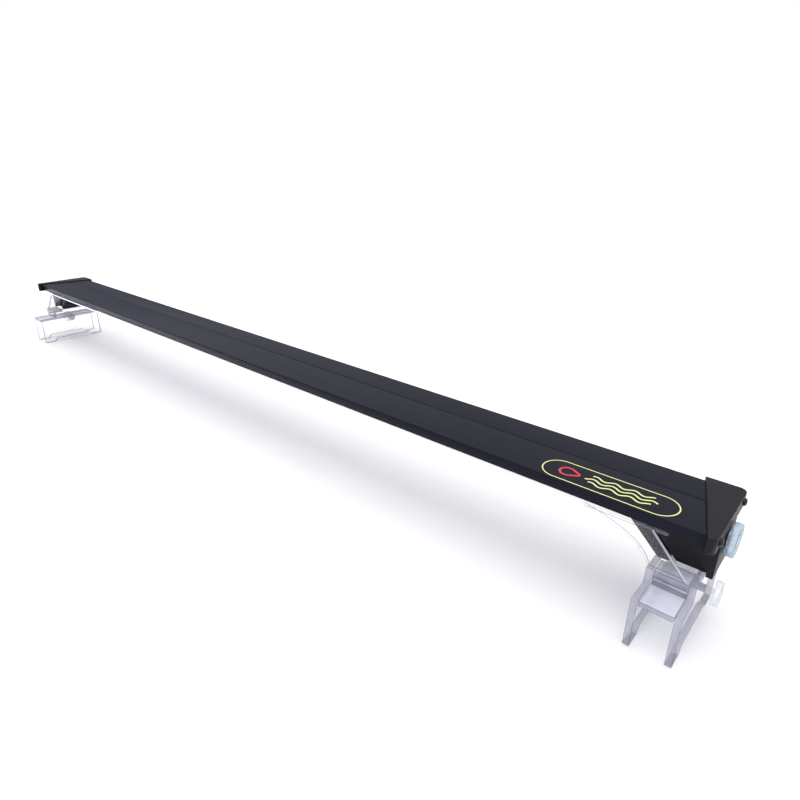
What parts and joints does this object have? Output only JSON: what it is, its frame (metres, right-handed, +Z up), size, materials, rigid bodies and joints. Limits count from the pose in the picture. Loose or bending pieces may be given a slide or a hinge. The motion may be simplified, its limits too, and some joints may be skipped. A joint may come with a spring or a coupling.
{
  "type": "led aquarium light",
  "caption": "Slim black bar light for an aquarium, with a row of LED boards behind a clear cover and clear slotted feet that grip the tank rim by thumb screws.",
  "frame": {"origin": "centre of the bounding box at the level of the feet's lowest edges", "axes": "+X along the bar to the end shown nearest, +Y to the back, +Z up"},
  "size_m": [0.9256, 0.0822, 0.08],
  "materials": {
    "anodised_black": "satin black anodised",
    "black_plastic": "satin moulded",
    "clear_acrylic": "clear polished sheet with pale edges",
    "clear_cover": "clear polished sheet",
    "clear_nylon": "pale blue translucent moulded",
    "white_board": "white solder mask",
    "white_plastic": "moulded",
    "thermal_tape": "thin filled tape",
    "red_wire": "wire insulation",
    "black_wire": "wire insulation",
    "steel": "plated",
    "brass": "turned"
  },
  "bodies": {
    "root": {"housing": "anodised_black", "lens_cover": "clear_cover", "thermal_tape": "thermal_tape", "led_board_1": "white_board", "led_board_2": "white_board", "led_board_3": "white_board", "led_board_4": "white_board", "led_board_5": "white_board", "led_board_6": "white_board", "board_link_1": "white_plastic", "board_link_2": "white_plastic", "board_link_3": "white_plastic", "board_link_4": "white_plastic", "board_link_5": "white_plastic", "power_jack": "black_plastic", "feed_wire_positive": "red_wire", "feed_wire_negative": "black_wire", "left_end_cap": "black_plastic", "left_cap_screw_front": "steel", "left_cap_screw_rear": "steel", "left_inner_plate": "clear_acrylic", "left_outer_plate": "clear_acrylic", "left_front_gusset": "clear_acrylic", "left_rear_gusset": "clear_acrylic", "left_rim_plate": "clear_acrylic", "left_front_riser": "clear_acrylic", "left_front_ledge": "clear_acrylic", "left_rear_riser": "clear_acrylic", "left_rear_ledge": "clear_acrylic", "left_holder": "black_plastic", "left_strut": "black_plastic", "left_holder_screw_front": "steel", "left_holder_screw_rear": "steel", "left_threaded_insert": "brass", "right_end_cap": "black_plastic", "right_cap_screw_front": "steel", "right_cap_screw_rear": "steel", "right_inner_plate": "clear_acrylic", "right_outer_plate": "clear_acrylic", "right_front_gusset": "clear_acrylic", "right_rear_gusset": "clear_acrylic", "right_rim_plate": "clear_acrylic", "right_front_riser": "clear_acrylic", "right_front_ledge": "clear_acrylic", "right_rear_riser": "clear_acrylic", "right_rear_ledge": "clear_acrylic", "right_holder": "black_plastic", "right_strut": "black_plastic", "right_holder_screw_front": "steel", "right_holder_screw_rear": "steel", "right_threaded_insert": "brass"},
    "left_mount_washer": {"left_mount_washer": "steel"},
    "left_mount_screw": {"left_mount_screw": "clear_nylon"},
    "left_clamp_pad": {"left_clamp_pad": "white_plastic"},
    "left_clamp_screw": {"left_clamp_screw": "clear_nylon"},
    "right_mount_washer": {"right_mount_washer": "steel"},
    "right_mount_screw": {"right_mount_screw": "clear_nylon"},
    "right_clamp_pad": {"right_clamp_pad": "white_plastic"},
    "right_clamp_screw": {"right_clamp_screw": "clear_nylon"}
  },
  "joints": [
    {"name": "left_mount_screw_travel", "type": "slide", "parent": "root", "child": "left_mount_washer", "axis": [-1, 0, 0], "range_m": [0, 0.006]},
    {"name": "left_mount_screw_turn", "type": "hinge", "parent": "left_mount_washer", "child": "left_mount_screw", "pos_m": [-0.46, 0.00735, 0.064], "axis": [-1, 0, 0], "range_deg": [0, 2164]},
    {"name": "left_clamp_pad_travel", "type": "slide", "parent": "root", "child": "left_clamp_pad", "axis": [1, 0, 0], "range_m": [0, 0.0036]},
    {"name": "left_clamp_screw_turn", "type": "hinge", "parent": "left_clamp_pad", "child": "left_clamp_screw", "pos_m": [-0.459, 0.00735, 0.025], "axis": [1, 0, 0], "range_deg": [0, 1625]},
    {"name": "right_mount_screw_travel", "type": "slide", "parent": "root", "child": "right_mount_washer", "axis": [1, 0, 0], "range_m": [0, 0.006]},
    {"name": "right_mount_screw_turn", "type": "hinge", "parent": "right_mount_washer", "child": "right_mount_screw", "pos_m": [0.46, 0.00735, 0.064], "axis": [1, 0, 0], "range_deg": [0, 2164]},
    {"name": "right_clamp_pad_travel", "type": "slide", "parent": "root", "child": "right_clamp_pad", "axis": [-1, 0, 0], "range_m": [0, 0.0036]},
    {"name": "right_clamp_screw_turn", "type": "hinge", "parent": "right_clamp_pad", "child": "right_clamp_screw", "pos_m": [0.459, 0.00735, 0.025], "axis": [-1, 0, 0], "range_deg": [0, 1625]}
  ],
  "couplings": [
    {"joint": "left_mount_screw_turn", "follows": "left_mount_screw_travel", "rad_per_m": 6283.2},
    {"joint": "left_clamp_screw_turn", "follows": "left_clamp_pad_travel", "rad_per_m": 7854},
    {"joint": "right_mount_screw_turn", "follows": "right_mount_screw_travel", "rad_per_m": 6283.2},
    {"joint": "right_clamp_screw_turn", "follows": "right_clamp_pad_travel", "rad_per_m": 7854}
  ]
}
